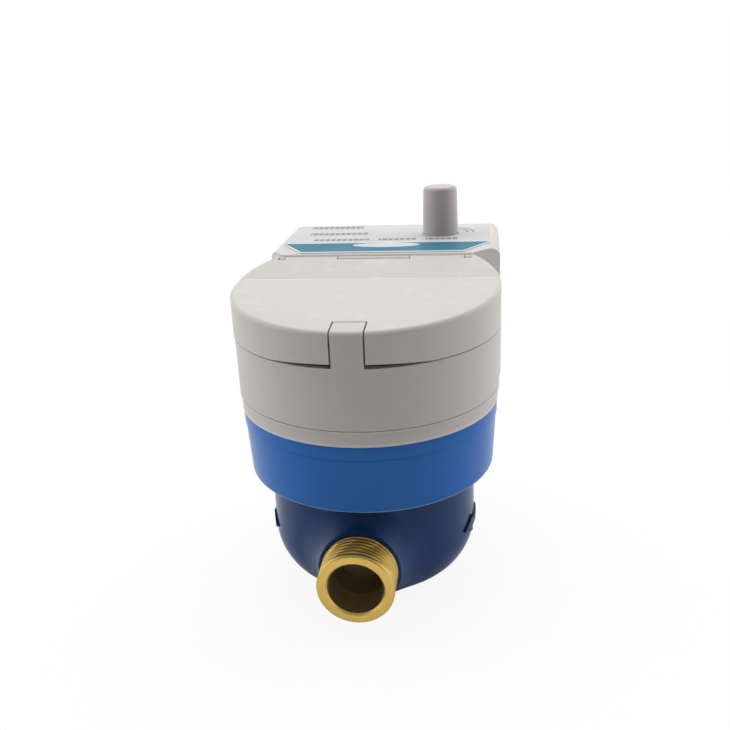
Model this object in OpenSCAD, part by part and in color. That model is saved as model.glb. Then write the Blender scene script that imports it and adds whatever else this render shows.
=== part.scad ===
// Radio water meter for a 15 mm pipe, with a hinged lid over its register.
// Millimetres, +Z up, origin at the centre of the flat underside of the bowl,
// outlet towards -Y, inlet and electronics box towards +Y.

/* [Pipe ends] */
// Length over both threaded ends
pipe_len = 110; // [105:1:130]
// Outside diameter of the pipe thread
thread_d = 26.44; // [24:0.02:28]
// Length of each bare threaded end
thread_len = 11.5; // [9:0.5:13]
// Bore of each end
bore_d = 19; // [15:0.5:20]
// Height of the pipe axis over the base
pipe_z = 22; // [20:0.5:26]
// Diameter of the painted neck behind the thread
neck_d = 28; // [27:0.5:32]
// Radius of the hollow curve between neck and bowl
neck_fillet = 12.5; // [9:0.5:16]
// How far the neck widens where it meets the bowl
neck_flare = 5; // [3:0.5:6]

/* [Bowl] */
// Outside diameter of the bowl
bowl_d = 76.4; // [74:0.2:80]
// Radius of the bowl's lower corner
bowl_corner = 20; // [14:0.5:22]
// Height of the bowl's rim
rim_z = 58; // [56:0.5:62]
// Diameter of the measuring chamber
chamber_d = 56; // [52:0.5:58]
// Height of the chamber floor
floor_z = 8; // [6:0.5:9]
// Height of the seat of the chamber cover
seat_z = 36; // [35:0.5:38]
// Diameter of the bore over that seat
seat_d = 66; // [64:0.5:68]
// Diameter of the inlet and outlet jets
jet_d = 9; // [6:0.5:11]
// Angle between each jet and the pipe axis
jet_angle = 42; // [35:1:48]

/* [Impeller] */
// Diameter over the vanes
impeller_d = 50; // [40:0.5:50]
// Number of vanes
vanes = 8; // [5:1:12]
// Thickness of a vane
vane_t = 1.4; // [1:0.1:2]
// Height of the vanes
vane_h = 20; // [14:0.5:22]
// Diameter of the impeller hub
hub_d = 14; // [13:0.5:16]
// Diameter of the steel pivot pin
pivot_d = 2.4; // [1.6:0.1:3]

/* [Register] */
// Gap between the register can and the bore of the bowl
can_gap = 2; // [1.5:0.1:3]
// Wall of the register can
can_wall = 2; // [1.5:0.1:2.5]
// Height of the top edge of the can
can_top = 88.5; // [86:0.5:89]
// Diameter of the flange that clamps the can
can_flange_d = 75; // [70:0.5:75.5]
// Thickness of the flange
can_flange_t = 3; // [2:0.5:4]
// Diameter of the window over the dial
window_d = 54; // [48:0.5:55]
// Thickness of the glass
glass_t = 3.2; // [2:0.1:3.4]
// Tooth module of the register wheels
tooth_module = 0.5; // [0.4:0.05:0.5]
// Diameter of a number roller
roller_d = 9.4; // [8:0.2:10]
// Width of a number roller
roller_w = 4.6; // [3.6:0.1:4.8]
// Distance of the roller axis behind the register axis
roller_y = 9; // [8:0.5:11]

/* [Collar] */
// Height of the lower edge of the collar
collar_z = 45; // [43:0.5:48]
// Height of the collar
collar_h = 25; // [23:0.5:27]
// Diameter at the lower edge
collar_d_low = 90.4; // [88:0.2:92]
// How far the top edge stands back from the lower shell
collar_step = 0.25; // [0:0.05:0.5]
// Height of the plain band at the top
collar_band = 5; // [3:0.5:8]

/* [Housing] */
// How far the lower shell stands back from the round wall over it
base_step = 0.5; // [0.2:0.1:1]
// Height of the lower shell
base_h = 5.7; // [5.5:0.1:6.5]
// Diameter of the round part of the housing
housing_d = 94.5; // [94:0.1:96]
// Height of the round part of the housing
housing_h = 21.3; // [21:0.1:23]
// Wall of the mouldings
wall = 2.5; // [2:0.1:3]
// How far the sides of the box lie inside the round wall
box_inset = 1.6; // [0:0.05:2]
// How far the box lies to the right of the register axis
box_shift = 2.1; // [0:0.1:3]
// Distance of the box's rear wall behind the register axis
box_rear = 89; // [86:0.5:96]
// Distance of the box's front wall behind the register axis
box_front = 28.6; // [28.6:0.1:29.5]
// Height of the box top over the rim of the round part
box_rise = 18.5; // [18.2:0.1:20]
// Radius of the upright corners of the box
box_corner = 7; // [4:0.5:10]
// Radius of the box's top edges
box_edge = 4.5; // [2:0.5:6]
// How far the slanted front corners run back
front_slant = 11.5; // [8:0.5:14]

/* [Lid] */
// How far the lid stands over the round wall
lid_over = 0.35; // [0.1:0.05:0.6]
// Wall of the lid
lid_wall = 2.2; // [1.6:0.1:2.4]
// Height of the lid's top over the rim, at the front edge
lid_front = 12; // [11:0.1:13]
// Height of the lid's top over the rim, at the crease
lid_mid = 15.4; // [14.8:0.1:15.8]
// Height of the lid's top over the rim, at the rear edge
lid_rear = 18.4; // [18:0.1:18.8]
// Distance of the crease behind the register axis
crease_y = 3.5; // [0:0.5:8]
// Radius of the lid's top edge
lid_edge = 2; // [1:0.1:3]
// Height of the finger gap below the front of the lid
finger_gap = 1.35; // [0.5:0.05:2]
// Width of the snap tongue
tongue_w = 10.3; // [8:0.1:14]
// How far the tongue's hook reaches back
tongue_reach = 9; // [7:0.5:12]
// Slit between tongue and lid
tongue_slit = 0.55; // [0.4:0.05:0.8]
// Distance of the hinge's end knuckles from the lid's edge
hinge_margin = 2.35; // [2:0.05:4]
// Diameter of the hinge pin
pin_d = 2; // [1.5:0.1:2.4]
// Outside diameter of the hinge knuckles
knuckle_d = 4.4; // [4:0.1:4.6]

/* [Electronics] */
// Diameter of the antenna cap at its foot
antenna_d = 14.6; // [12:0.1:16]
// Height of the antenna cap over the box
antenna_h = 19.7; // [16:0.1:26]
// Place of the antenna across the box
antenna_x = 23.4; // [18:0.2:28]
// Place of the antenna behind the register axis
antenna_y = 65.5; // [60:0.5:70]
// Diameter of the battery cell
battery_d = 18.5; // [14:0.5:18.5]
// Length of the battery cell
battery_len = 50.5; // [40:0.5:60]
// Margin between the label and the sides of the box
label_margin = 4.1; // [4:0.1:8]
// Thickness of the circuit board
board_t = 1.6; // [1:0.1:2]

/* [Hidden] */
$fn = 96;

navy = [0.10, 0.16, 0.27];
collar_blue = [0.16, 0.33, 0.55];
housing_grey = [0.60, 0.58, 0.56];
lid_grey = [0.86, 0.85, 0.83];
antenna_grey = [0.51, 0.49, 0.48];
label_white = [0.88, 0.89, 0.90];
steel = [0.75, 0.76, 0.78];
brass = [0.73, 0.63, 0.37];
black_rubber = [0.12, 0.12, 0.13];
dial_white = [0.95, 0.95, 0.94];
hand_red = [0.78, 0.10, 0.10];
glass_tint = [0.80, 0.88, 0.90, 0.4];
board_green = [0.10, 0.36, 0.22];
magnet_dark = [0.22, 0.22, 0.24];
wheel_white = [0.90, 0.88, 0.80];

// Clearances: a running fit, a seated piece, and two pieces that must stay clear
run_gap = 0.05;
seat_gap = 0.1;
clear_gap = 0.3;
// Overlap of cutters past the face they cut
over = 1;

// Levels of the stack from the bowl up
collar_top = collar_z + collar_h;
base_top = collar_top + base_h;
rim_top = base_top + housing_h;
box_top = rim_top + box_rise;
half_len = pipe_len / 2;

// Inner ends of the bores, and the strainer in the inlet
bore_web = 4;
bore_end = bowl_d / 2 - bore_web;
strainer_inset = 0.5;
strainer_space = 4.3;

// Diameters and widths that line up with the round wall of the housing
base_d = housing_d - 2 * base_step;
collar_d_top = base_d - 2 * collar_step;
lid_d = housing_d + 2 * lid_over;
lid_r = lid_d / 2;
box_w = housing_d - 2 * box_inset;

// Chamber cover, its clamp ring and the foot of the register can
cover_t = 4;
cover_top = seat_z + cover_t;
cover_recess_d = 18;
cover_recess_h = 2.2;
clamp_t = 5;
clamp_top = cover_top + clamp_t;
clamp_bore_d = 48;
seal_d = 1.56;
can_foot_d = 24;
can_foot_z = cover_top + clear_gap;
can_floor = clamp_top + clear_gap;
can_foot_t = 1.6;
shoulder_t = 3;

// Impeller and its pivot
impeller_z = floor_z + 2.5;
hub_top = seat_z + 0.6;
pivot_drop = 8;
pivot_top = hub_top - pivot_drop;
pivot_sink = 3;
magnet_h = 4.6;
magnet_bore_d = 6;
impeller_magnet_d = hub_d - 2.4;

// Register movement
can_d = seat_d - 2 * can_gap;
plate_rise = 8.7;
plate_z = can_floor + plate_rise;
plate_t = 2;
plate_ledge = 1.5;
plate_d = can_d - 2 * can_wall - 2 * seat_gap;
bridge_rise = 16;
bridge_z = plate_z + bridge_rise;
bridge_t = 1.5;
post_d = 3.2;
post_ring_d = plate_d - 2 * post_d - 2 * run_gap;
post_angles = [30, 160, 235];
spindle_d = 2;
arbor_d = 1.6;
follower_d = 16;
follower_z = can_foot_z + can_foot_t + clear_gap;
spindle_pinion_teeth = 12;
first_teeth = 44;
first_pinion_teeth = 10;
second_teeth = 40;
mesh_slack = 0.12;
gear_t = 2;
pinion_t = 3;
first_gear_z = plate_z + plate_t + 3;
gear_step = 5;
second_gear_z = first_gear_z + gear_step;
first_angle = -30;
second_angle = -150;
first_dist = (spindle_pinion_teeth + first_teeth) * tooth_module / 2 + mesh_slack;
second_dist = (first_pinion_teeth + second_teeth) * tooth_module / 2 + mesh_slack;
first_pos = first_dist * [cos(first_angle), sin(first_angle)];
second_pos = first_pos + second_dist * [cos(second_angle), sin(second_angle)];

// Number rollers and dial
rollers = 5;
roller_pitch = roller_w + 0.3;
rollers_len = rollers * roller_pitch;
roller_shaft_d = 1.6;
cheek_t = 2;
cheek_x = rollers_len / 2 + 0.8;
cheek_w = 8;
dial_t = 0.8;
dial_drop = 6.3;
dial_z = can_top - dial_drop;
roller_z = dial_z + 0.5 - roller_d / 2;
hand_z = dial_z + dial_t + 1;
hand_t = 0.7;
hand_len = 4.4;
hand_eye_d = 3.2;
arbor_top = hand_z + hand_t + 0.3;
gasket_t = 1;
glass_z = can_top + gasket_t;

// Deck of the housing over the glass
deck_z = glass_z + glass_t + clear_gap;
deck_top = rim_top - 1.5;

// Lid planes and hinge
lid_gap = 0.3;
lid_z = rim_top + lid_gap;
lid_cut_y = box_front - 1.1;
front_half = sqrt(pow(lid_r, 2) - pow(lid_cut_y, 2)) - hinge_margin;
front_slope = atan((lid_mid - lid_front) / (crease_y + lid_r));
rear_slope = atan((lid_rear - lid_mid) / (lid_cut_y - crease_y));
crease_z = rim_top + lid_mid;
hinge_y = box_front - knuckle_d / 2 - 0.4;
hinge_z = rim_top + lid_rear - knuckle_d / 2 - 0.1;
knuckle_gap = 0.4;
mid_knuckle = 13.6;
end_knuckle = 2;
knuckle_end = front_half;
lid_knuckle_in = mid_knuckle + knuckle_gap;
lid_knuckle_out = knuckle_end - end_knuckle - knuckle_gap;

// Electronics
board_margin = 7.65;
board_w = box_w - 2 * board_margin;
board_d = 44;
board_y = 60;
board_drop = 9;
board_z = box_top - wall - board_drop;
board_post_d = 6;
board_post_x = board_w / 2 - 4;
board_post_dy = board_d / 2 - 4;
board_screw_d = 2.4;
board_screw_head_d = 4.6;
board_screw_head_t = 1.6;
board_screw_bite = 4;
radio_size = [20, 16, 3];
radio_x = 8;
sensor_w = 16;
sensor_h = 13;
battery_y = 55;
battery_z = collar_top + wall + battery_d / 2 + 2.2;
saddle_inset = 10;
saddle_x = battery_len / 2 - saddle_inset;
screw_x = box_w / 2 - wall - 3.4;
screw_front = 45;
screw_inset = 8.5;
screw_ys = [screw_front, box_rear - screw_inset];
screw_d = 3;
screw_head_d = 5.6;
screw_head_t = 2;
screw_boss_d = 8.4;
screw_len = 12;
spigot_d = 11;
label_t = 0.3;
label_back = 7;
label_rear = box_rear - label_back;
label_front = box_front + 2.4;
label_corner = 15.5;
label_tip = label_front + label_corner;
label_cut = 10;

// A flat ring or tube
module tube(d, bore, h) {
    difference() {
        cylinder(d = d, h = h);
        translate([0, 0, -over]) cylinder(d = bore, h = h + 2 * over);
    }
}

// A rectangle with round corners, built from squares and circles
module round_rect(w, d, r) {
    square([w - 2 * r, d], center = true);
    square([w, d - 2 * r], center = true);
    for (sx = [-1, 1], sy = [-1, 1])
        translate([sx * (w / 2 - r), sy * (d / 2 - r)]) circle(r);
}

// Everything on one side of the plane y = at
module half_space(at, front) {
    size = 400;
    translate([-size / 2, front ? at - size : at, -size / 2]) cube(size);
}

// A spur gear with straight-sided teeth, one tooth on +X
module spur(teeth, h) {
    pitch = 360 / teeth;
    root_r = tooth_module * (teeth / 2 - 1.2);
    tip_r = tooth_module * (teeth / 2 + 0.8);
    points = [for (i = [0:teeth - 1], c = [[-0.27, root_r], [-0.12, tip_r], [0.12, tip_r], [0.27, root_r]])
        c[1] * [cos((i + c[0]) * pitch), sin((i + c[0]) * pitch)]];
    linear_extrude(h) polygon(points);
}

// A pointer with its eye on the origin
module pointer(length, h) {
    tail = length * 0.5;
    foot = hand_eye_d * 0.28;
    tip = hand_eye_d * 0.08;
    cylinder(d = hand_eye_d, h = h);
    linear_extrude(h)
        polygon([[-foot, -tail], [-foot, 0], [-tip, length], [tip, length], [foot, 0], [foot, -tail]]);
}

// One pipe end along +Z, from the register axis outwards
module pipe_end() {
    neck_len = half_len - thread_len;
    curve_z = neck_len - 0.5;
    flare_start = bowl_d / 2 - bowl_corner;
    cylinder(d = thread_d, h = half_len);
    cylinder(d = neck_d, h = neck_len);
    rotate_extrude() difference() {
        translate([0, flare_start]) square([neck_d / 2 + neck_flare, curve_z - flare_start]);
        translate([neck_d / 2 + neck_fillet, curve_z]) circle(neck_fillet);
    }
}

// Outside of the bowl, turned from its section
module bowl_outside() {
    bowl_r = bowl_d / 2;
    rotate_extrude() {
        translate([0, bowl_corner]) square([bowl_r, rim_z - bowl_corner]);
        square([bowl_r - bowl_corner, bowl_corner]);
        intersection() {
            translate([bowl_r - bowl_corner, bowl_corner]) circle(bowl_corner);
            square([bowl_r, bowl_corner]);
        }
    }
}

// A jet from the end of a bore into the side of the chamber
module jet(side) {
    translate([0, side * bore_end, pipe_z]) rotate([side * 90, 0, side * jet_angle])
        translate([0, 0, -2]) cylinder(d = jet_d, h = chamber_d * 0.45);
}

// Brass casting: bowl, both pipe ends, measuring chamber and cover seat
module meter_body() {
    color(navy) difference() {
        union() {
            bowl_outside();
            for (turn = [90, -90])
                translate([0, 0, pipe_z]) rotate([turn, 0, 0]) pipe_end();
        }
        translate([0, 0, floor_z]) cylinder(d = chamber_d, h = rim_z);
        translate([0, 0, seat_z]) cylinder(d = seat_d, h = rim_z);
        for (turn = [90, -90])
            translate([0, 0, pipe_z]) rotate([turn, 0, 0])
                translate([0, 0, bore_end]) cylinder(d = bore_d, h = half_len);
        jet(1);
        jet(-1);
        translate([0, 0, floor_z - pivot_sink]) cylinder(d = pivot_d, h = pivot_sink + over);
    }
}

// Slotted thimble in the inlet bore
module inlet_strainer() {
    cup_d = bore_d - 2.4;
    cup_len = half_len - strainer_inset - bore_end - strainer_space;
    cup_wall = 1.2;
    slots = 8;
    slot_w = 2.4;
    slot_start = 4;
    slot_land = 3;
    slot_len = cup_len - slot_start - slot_land;
    color(dial_white)
        translate([0, half_len - strainer_inset, pipe_z]) rotate([90, 0, 0]) difference() {
            union() {
                cylinder(d = bore_d - 2 * seat_gap, h = 2);
                cylinder(d = cup_d, h = cup_len);
            }
            translate([0, 0, -over]) cylinder(d = cup_d - 2 * cup_wall, h = cup_len - cup_wall + over);
            for (i = [0:slots - 1]) rotate([0, 0, i * 360 / slots])
                translate([cup_d / 4, -slot_w / 2, slot_start]) cube([cup_d, slot_w, slot_len]);
        }
}

// Vane wheel, with a pocket for its magnet
module impeller() {
    color(wheel_white) difference() {
        union() {
            translate([0, 0, impeller_z]) cylinder(d = hub_d, h = hub_top - impeller_z);
            translate([0, 0, impeller_z]) cylinder(d = impeller_d * 0.6, h = vane_t);
            for (i = [0:vanes - 1]) rotate([0, 0, i * 360 / vanes])
                translate([0, -vane_t / 2, impeller_z]) cube([impeller_d / 2, vane_t, vane_h]);
        }
        translate([0, 0, hub_top - magnet_h]) cylinder(d = impeller_magnet_d, h = magnet_h + over);
        translate([0, 0, impeller_z - over])
            cylinder(d = pivot_d + 2 * run_gap, h = pivot_top - impeller_z + over + run_gap);
    }
}

// Ring magnet in the hub of the vane wheel
module impeller_magnet() {
    color(magnet_dark) translate([0, 0, hub_top - magnet_h])
        tube(impeller_magnet_d - 2 * run_gap, magnet_bore_d, magnet_h - seat_gap);
}

// Steel pin that the vane wheel turns on
module impeller_pivot() {
    color(steel) translate([0, 0, floor_z - pivot_sink])
        cylinder(d = pivot_d, h = pivot_top - floor_z + pivot_sink);
}

// Plate that closes the wet chamber
module chamber_cover() {
    groove_d = seat_d - 3.8;
    color(dial_white) difference() {
        translate([0, 0, seat_z]) cylinder(d = seat_d - 0.6, h = cover_t);
        translate([0, 0, seat_z - over]) cylinder(d = cover_recess_d, h = cover_recess_h + over);
        translate([0, 0, seat_z + cover_t / 2 - 1]) tube(seat_d + 2, groove_d, 2);
    }
}

// Rubber ring in the groove of the cover
module cover_seal() {
    color(black_rubber) translate([0, 0, seat_z + cover_t / 2]) rotate_extrude()
        translate([(seat_d - 3.8) / 2 + seal_d / 2 + 0.02, 0]) circle(d = seal_d);
}

// Brass ring that holds the cover down, with notches for a pin wrench
module clamp_ring() {
    notches = 4;
    notch_d = 4;
    color(brass) translate([0, 0, cover_top]) difference() {
        tube(seat_d - 0.4, clamp_bore_d, clamp_t);
        for (i = [0:notches - 1]) rotate([0, 0, i * 360 / notches])
            translate([clamp_bore_d / 2 + 4.5, 0, 2]) cylinder(d = notch_d, h = clamp_t);
    }
}

// Sealed can of the dry register, with a well for the follower magnet
module register_can() {
    inner_d = can_d - 2 * can_wall;
    color(brass) difference() {
        union() {
            translate([0, 0, can_floor]) cylinder(d = can_d, h = can_top - can_floor);
            translate([0, 0, can_foot_z]) cylinder(d = can_foot_d, h = can_floor - can_foot_z + over);
            translate([0, 0, rim_z]) cylinder(d = can_flange_d, h = can_flange_t);
        }
        translate([0, 0, plate_z]) cylinder(d = inner_d, h = can_top);
        translate([0, 0, can_floor + can_wall])
            cylinder(d = inner_d - 2 * plate_ledge, h = can_top - can_floor - can_wall + over);
        translate([0, 0, can_foot_z + can_foot_t])
            cylinder(d = follower_d + 2 * clear_gap, h = can_floor);
    }
}

// Disc magnet that follows the impeller's magnet through the cover
module follower_magnet() {
    color(magnet_dark) translate([0, 0, follower_z]) tube(follower_d, spindle_d, magnet_h);
}

// Spindle of the follower magnet, with the first pinion
module follower_spindle() {
    color(steel) translate([0, 0, follower_z]) cylinder(d = spindle_d, h = arbor_top - follower_z);
    color(wheel_white) translate([0, 0, first_gear_z - 0.5]) rotate([0, 0, first_angle])
        spur(spindle_pinion_teeth, pinion_t);
}

// Star that shows the least flow, on top of the spindle
module flow_star() {
    points = 6;
    star_r = 4;
    color(hand_red) translate([0, 0, hand_z]) difference() {
        linear_extrude(hand_t)
            polygon([for (i = [0:2 * points - 1])
                (i % 2 == 0 ? star_r : star_r * 0.5) * [cos(i * 180 / points), sin(i * 180 / points)]]);
        translate([0, 0, -over]) cylinder(d = spindle_d, h = hand_t + 2 * over);
    }
}

// First reduction wheel with its pinion, moulded on its arbor
module first_wheel() {
    half_tooth = 180 / first_teeth;
    color(wheel_white) translate([first_pos.x, first_pos.y, 0]) {
        translate([0, 0, first_gear_z]) rotate([0, 0, first_angle + 180 + half_tooth])
            spur(first_teeth, gear_t);
        translate([0, 0, second_gear_z - 0.5]) rotate([0, 0, second_angle])
            spur(first_pinion_teeth, pinion_t);
        translate([0, 0, plate_z + plate_t / 2]) cylinder(d = arbor_d, h = arbor_top - plate_z - plate_t / 2);
        translate([0, 0, first_gear_z]) cylinder(d = arbor_d + 1.4, h = second_gear_z - first_gear_z);
    }
}

// Second reduction wheel on its arbor
module second_wheel() {
    half_tooth = 180 / second_teeth;
    color(wheel_white) translate([second_pos.x, second_pos.y, 0]) {
        translate([0, 0, second_gear_z]) rotate([0, 0, second_angle + 180 + half_tooth])
            spur(second_teeth, gear_t);
        translate([0, 0, plate_z + plate_t / 2]) cylinder(d = arbor_d, h = arbor_top - plate_z - plate_t / 2);
    }
}

// A red hand pressed on an arbor over the dial
module dial_hand(pos) {
    color(hand_red) translate([pos.x, pos.y, hand_z]) difference() {
        pointer(hand_len, hand_t);
        translate([0, 0, -over]) cylinder(d = arbor_d, h = hand_t + 2 * over);
    }
}

module first_hand() dial_hand(first_pos);

module second_hand() dial_hand(second_pos);

// Lower plate of the movement, with the posts that carry the bridge
module movement_plate() {
    color(dial_white) difference() {
        union() {
            translate([0, 0, plate_z]) cylinder(d = plate_d, h = plate_t);
            for (a = post_angles)
                translate([post_ring_d / 2 * cos(a), post_ring_d / 2 * sin(a), plate_z])
                    cylinder(d = post_d, h = bridge_z - plate_z);
        }
        translate([0, 0, plate_z - over]) cylinder(d = spindle_d + 2 * run_gap, h = plate_t + 2 * over);
        for (p = [first_pos, second_pos])
            translate([p.x, p.y, plate_z + plate_t / 2 - run_gap])
                cylinder(d = arbor_d + 2 * run_gap, h = plate_t);
    }
}

// Upper plate of the movement, with the cheeks of the roller shaft
module movement_bridge() {
    color(dial_white) difference() {
        union() {
            translate([0, 0, bridge_z]) cylinder(d = plate_d, h = bridge_t);
            for (s = [-1, 1])
                translate([s * (cheek_x + cheek_t / 2) - cheek_t / 2, roller_y - cheek_w / 2, bridge_z])
                    cube([cheek_t, cheek_w, dial_z - bridge_z]);
        }
        translate([0, 0, bridge_z - over]) {
            cylinder(d = spindle_d + 2 * run_gap, h = bridge_t + 2 * over);
            for (p = [first_pos, second_pos])
                translate([p.x, p.y, 0]) cylinder(d = arbor_d + 2 * run_gap, h = bridge_t + 2 * over);
        }
        translate([-can_d / 2, roller_y, roller_z]) rotate([0, 90, 0])
            cylinder(d = roller_shaft_d, h = can_d);
    }
}

// Shaft of the number rollers, held in the cheeks
module roller_shaft() {
    length = 2 * (cheek_x + cheek_t);
    color(steel) translate([-length / 2, roller_y, roller_z]) rotate([0, 90, 0])
        cylinder(d = roller_shaft_d, h = length);
}

// One number roller, counted from the right
module number_roller(index) {
    x = rollers_len / 2 - (index + 0.5) * roller_pitch;
    color(index < 1 ? hand_red : magnet_dark)
        translate([x - roller_w / 2, roller_y, roller_z]) rotate([0, 90, 0])
            tube(roller_d, roller_shaft_d + 2 * run_gap, roller_w);
}

// Dial with the window of the rollers and holes for the arbors
module dial_plate() {
    color(dial_white) difference() {
        translate([0, 0, dial_z]) cylinder(d = plate_d, h = dial_t);
        translate([-rollers_len / 2 - 0.3, roller_y - roller_d * 0.34, dial_z - over])
            cube([rollers_len + 0.6, roller_d * 0.68, dial_t + 2 * over]);
        translate([0, 0, dial_z - over]) {
            cylinder(d = spindle_d + 2 * clear_gap, h = dial_t + 2 * over);
            for (p = [first_pos, second_pos])
                translate([p.x, p.y, 0]) cylinder(d = arbor_d + 2 * clear_gap, h = dial_t + 2 * over);
        }
    }
}

// Flat gasket under the glass
module glass_gasket() {
    color(black_rubber) translate([0, 0, can_top]) tube(can_d, can_d - 2 * can_wall, gasket_t);
}

// Glass over the dial
module register_glass() {
    color(glass_tint) translate([0, 0, glass_z]) cylinder(d = can_d - 1, h = glass_t);
}

// Blue collar that clamps the register to the bowl
module collar_ring() {
    low_r = collar_d_low / 2;
    top_r = collar_d_top / 2;
    band_z = collar_h - collar_band;
    step = 0.3;
    round_r = 1.2;
    shoulder_z = rim_z + can_flange_t - collar_z;
    color(collar_blue) translate([0, 0, collar_z]) difference() {
        rotate_extrude() {
            polygon([[0, 0], [low_r - round_r, 0], [low_r, round_r], [top_r - step, band_z],
                [top_r, band_z + step], [top_r, collar_h], [0, collar_h]]);
            translate([low_r - round_r, round_r]) circle(round_r);
        }
        translate([0, 0, -over]) cylinder(d = bowl_d + 2 * clear_gap, h = rim_z - collar_z + over);
        cylinder(d = can_flange_d + 2 * seat_gap, h = shoulder_z);
        cylinder(d = can_d + 2 * clear_gap, h = collar_h + over);
        translate([0, 0, shoulder_z + shoulder_t])
            cylinder(d = 2 * (top_r - 1.6 * wall), h = collar_h);
    }
}

// Outline of the box below the rim, shrunk all round by an inset
module box_plan(inset) {
    depth = box_rear - inset;
    corner = max(box_corner - inset, 0.5);
    translate([box_shift, depth / 2]) round_rect(box_w - 2 * inset, depth, corner);
}

// Outline of the box over the rim, with slanted front corners
module upper_plan(inset) {
    front = box_front + inset;
    left = box_shift - box_w / 2;
    right = box_shift + box_w / 2;
    intersection() {
        box_plan(inset);
        polygon([[-front_half, front], [front_half, front], [right, front + front_slant], [right, box_rear],
            [left, box_rear], [left, front + front_slant]]);
    }
}

// Lower shell: ring under the housing, tray of the box, battery saddles
module base_shell() {
    inset = base_step;
    spigot_r = collar_d_top / 2 - 1.6 * wall - seat_gap;
    spigot_top = rim_z + can_flange_t + shoulder_t + seat_gap;
    saddle_w = 4;
    saddle_d = battery_d * 0.8;
    pad_h = base_h;
    color(housing_grey) difference() {
        union() {
            translate([0, 0, collar_top]) linear_extrude(base_h) {
                circle(d = base_d);
                box_plan(inset);
            }
            translate([0, 0, spigot_top]) cylinder(r = spigot_r, h = collar_top - spigot_top + over);
        }
        difference() {
            translate([0, 0, collar_top + wall]) linear_extrude(base_h) {
                circle(d = base_d - 2 * wall);
                box_plan(inset + wall);
            }
            for (s = [-1, 1]) {
                translate([s * saddle_x - saddle_w / 2, battery_y - saddle_d / 2, collar_top])
                    cube([saddle_w, saddle_d, battery_z - collar_top - battery_d * 0.3]);
                for (y = screw_ys)
                    translate([box_shift + s * screw_x, y, collar_top]) cylinder(d = screw_boss_d, h = pad_h);
            }
        }
        translate([0, 0, spigot_top - over]) cylinder(r = spigot_r - wall, h = collar_top - spigot_top);
        translate([0, 0, spigot_top - over]) cylinder(d = can_d + 2 * clear_gap, h = can_top);
        translate([-battery_len, battery_y, battery_z]) rotate([0, 90, 0])
            cylinder(d = battery_d + 2 * seat_gap, h = 2 * battery_len);
        for (s = [-1, 1], y = screw_ys) translate([box_shift + s * screw_x, y, collar_top - over]) {
            cylinder(d = screw_d + 0.4, h = pad_h + 2 * over);
            cylinder(d = screw_head_d + 0.4, h = screw_head_t + 0.4 + over);
        }
    }
}

// Solid of the box over the rim, with round top edges
module box_outside() {
    edge_w = box_w;
    rise = box_top - base_top;
    front_round = 1.5;
    intersection() {
        translate([0, 0, base_top]) union() {
            linear_extrude(rim_top - base_top) box_plan(0);
            linear_extrude(rise) upper_plan(0);
        }
        translate([box_shift, box_rear + over, box_top - rise]) rotate([90, 0, 0])
            linear_extrude(box_rear + 2 * over) {
                translate([-edge_w / 2, 0]) square([edge_w, rise - box_edge]);
                translate([-edge_w / 2 + box_edge, 0]) square([edge_w - 2 * box_edge, rise]);
                for (s = [-1, 1]) translate([s * (edge_w / 2 - box_edge), rise - box_edge]) circle(box_edge);
            }
        translate([-box_w, 0, base_top]) rotate([90, 0, 90]) linear_extrude(2 * box_w) {
            square([box_rear, rise - box_edge]);
            translate([box_front + front_round, 0])
                square([box_rear - box_edge - box_front - front_round, rise]);
            translate([box_rear - box_edge, rise - box_edge]) circle(box_edge);
            translate([box_front + front_round, rise - front_round]) circle(front_round);
            square([box_rear - box_edge, rise - box_edge]);
            translate([box_front, 0]) square([front_round, rise - front_round]);
        }
    }
}

// Barrel of one hinge knuckle between two places along the axis
module knuckle(x0, x1) {
    translate([x0, hinge_y, hinge_z]) rotate([0, 90, 0]) cylinder(d = knuckle_d, h = x1 - x0);
}

// Barrel of a housing knuckle with its root on the box wall
module housing_knuckle(x0, x1) {
    knuckle(x0, x1);
    translate([x0, hinge_y, hinge_z - knuckle_d / 2])
        cube([x1 - x0, box_front - hinge_y + wall / 2, knuckle_d * 0.75]);
}

// Bore of the hinge pin through one moulding
module pin_bore(d) {
    half = knuckle_end + knuckle_gap / 2;
    translate([-half, hinge_y, hinge_z]) rotate([0, 90, 0]) cylinder(d = d, h = 2 * half);
}

// Space below one sloping top plane, with a rounded edge that runs out in the lid's wall
module sloped_cap(slope) {
    depth = 60;
    skirt = 4;
    r = lid_r + 0.35;
    flat_r = r - lid_edge;
    translate([0, crease_y, crease_z]) rotate([slope, 0, 0]) translate([0, -crease_y / cos(slope), 0])
        rotate_extrude() {
            translate([0, -depth]) square([flat_r, depth]);
            translate([flat_r, -lid_edge]) circle(lid_edge);
            translate([0, -lid_edge]) mirror([0, 1]) polygon([[0, 0], [r, 0], [r + skirt, skirt],
                [r + skirt, depth - lid_edge], [0, depth - lid_edge]]);
        }
}

// Space below one sloping plane, lowered by a wall
module sloped_space(slope, drop) {
    size = 200;
    translate([0, crease_y, crease_z]) rotate([slope, 0, 0])
        translate([-size / 2, -size / 2, -drop - size]) cube(size);
}

// Outside of the lid without its hinge
module lid_outside() {
    intersection() {
        translate([0, 0, lid_z]) cylinder(r = lid_r, h = 2 * box_rise);
        half_space(lid_cut_y, true);
        union() {
            sloped_cap(front_slope);
            sloped_cap(rear_slope);
        }
    }
}

// Inside of the lid, a wall below its top and within its side
module lid_inside(drop) {
    intersection() {
        translate([0, 0, lid_z - over]) cylinder(r = lid_r - drop, h = 2 * box_rise);
        union() {
            sloped_space(front_slope, drop);
            sloped_space(rear_slope, drop);
        }
    }
}

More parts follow.
